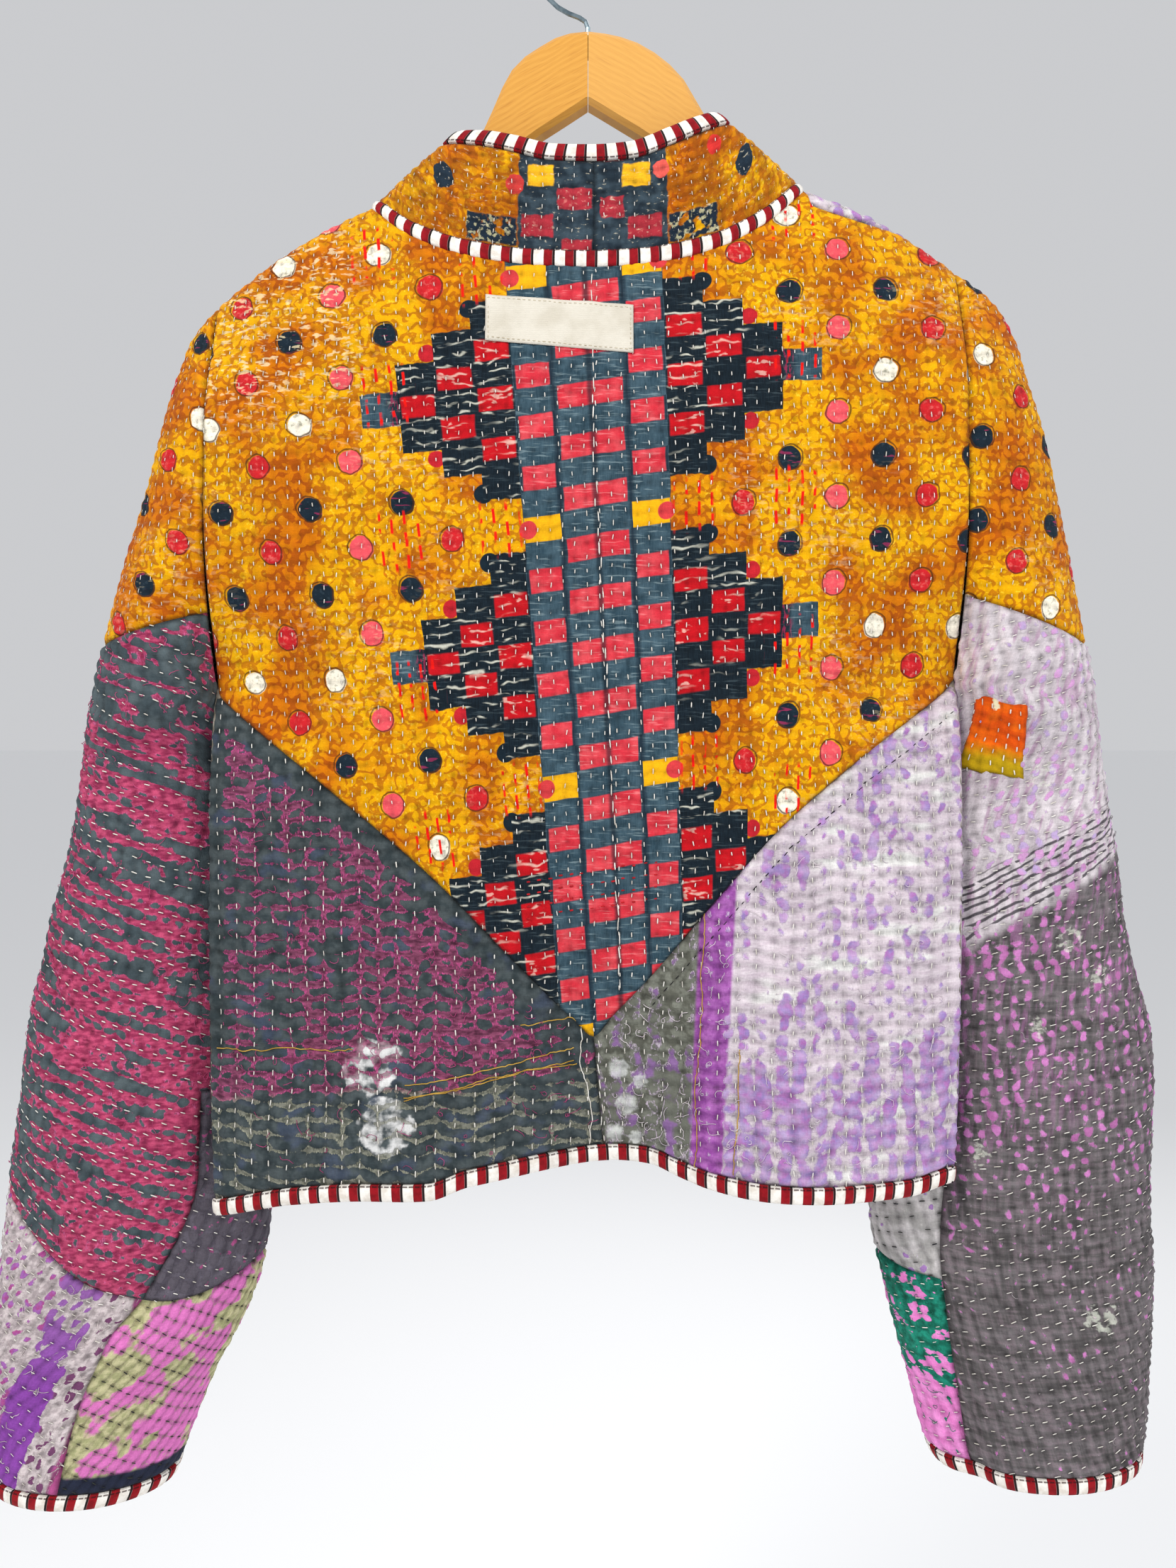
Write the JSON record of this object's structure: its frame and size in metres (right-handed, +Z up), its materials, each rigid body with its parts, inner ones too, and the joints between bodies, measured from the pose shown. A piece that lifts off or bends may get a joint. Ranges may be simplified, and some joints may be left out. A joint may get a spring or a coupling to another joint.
{
  "type": "kantha jacket on a wooden hanger",
  "caption": "Cropped quilted cotton patchwork jacket with a stand collar, full sleeves, an open front and striped bindings, hanging on a wooden hanger with a wire hook.",
  "frame": {"origin": "where the hook's bend rests on a rail", "axes": "+Z up, +Y out of the jacket's open front, its back towards -Y, its left sleeve as seen from behind at -X"},
  "size_m": [0.6517, 0.1076, 0.8526],
  "materials": {
    "yellow": "printed cotton, quilted, worn",
    "slate": "printed cotton, quilted, faded",
    "lilac": "printed cotton, quilted, faded",
    "plum": "printed cotton, quilted, worn",
    "magenta": "printed cotton, quilted, frayed",
    "sage": "printed cotton, quilted, faded",
    "charcoal": "printed cotton, quilted, worn",
    "rose": "printed cotton, quilted",
    "orange": "printed cotton patch",
    "binding": "striped woven cotton binding",
    "cream": "plain woven cotton",
    "wood": "clear varnish",
    "steel": "plated wire"
  },
  "bodies": {
    "root": {"back_upper": "yellow", "back_lower_left": "slate", "back_lower_right": "lilac", "front_left": "slate", "front_right": "lilac", "sleeve_left_upper": "yellow", "sleeve_left_mid": "magenta", "sleeve_left_under": "plum", "sleeve_left_fore_outer": "lilac", "sleeve_left_fore_inner": "sage", "sleeve_right_upper": "yellow", "sleeve_right_main": "charcoal", "sleeve_right_under_top": "lilac", "sleeve_right_under_low": "rose", "collar_left": "yellow", "collar_right": "yellow", "binding_neck": "binding", "binding_collar": "binding", "binding_front_left": "binding", "binding_front_right": "binding", "binding_hem_front_left": "binding", "binding_hem_front_right": "binding", "binding_hem_back": "binding", "binding_cuff_left": "binding", "binding_cuff_right": "binding", "label": "cream", "patch_orange": "orange", "hanger_arm_left": "wood", "hanger_arm_right": "wood", "hanger_hook": "steel"}
  },
  "joints": []
}
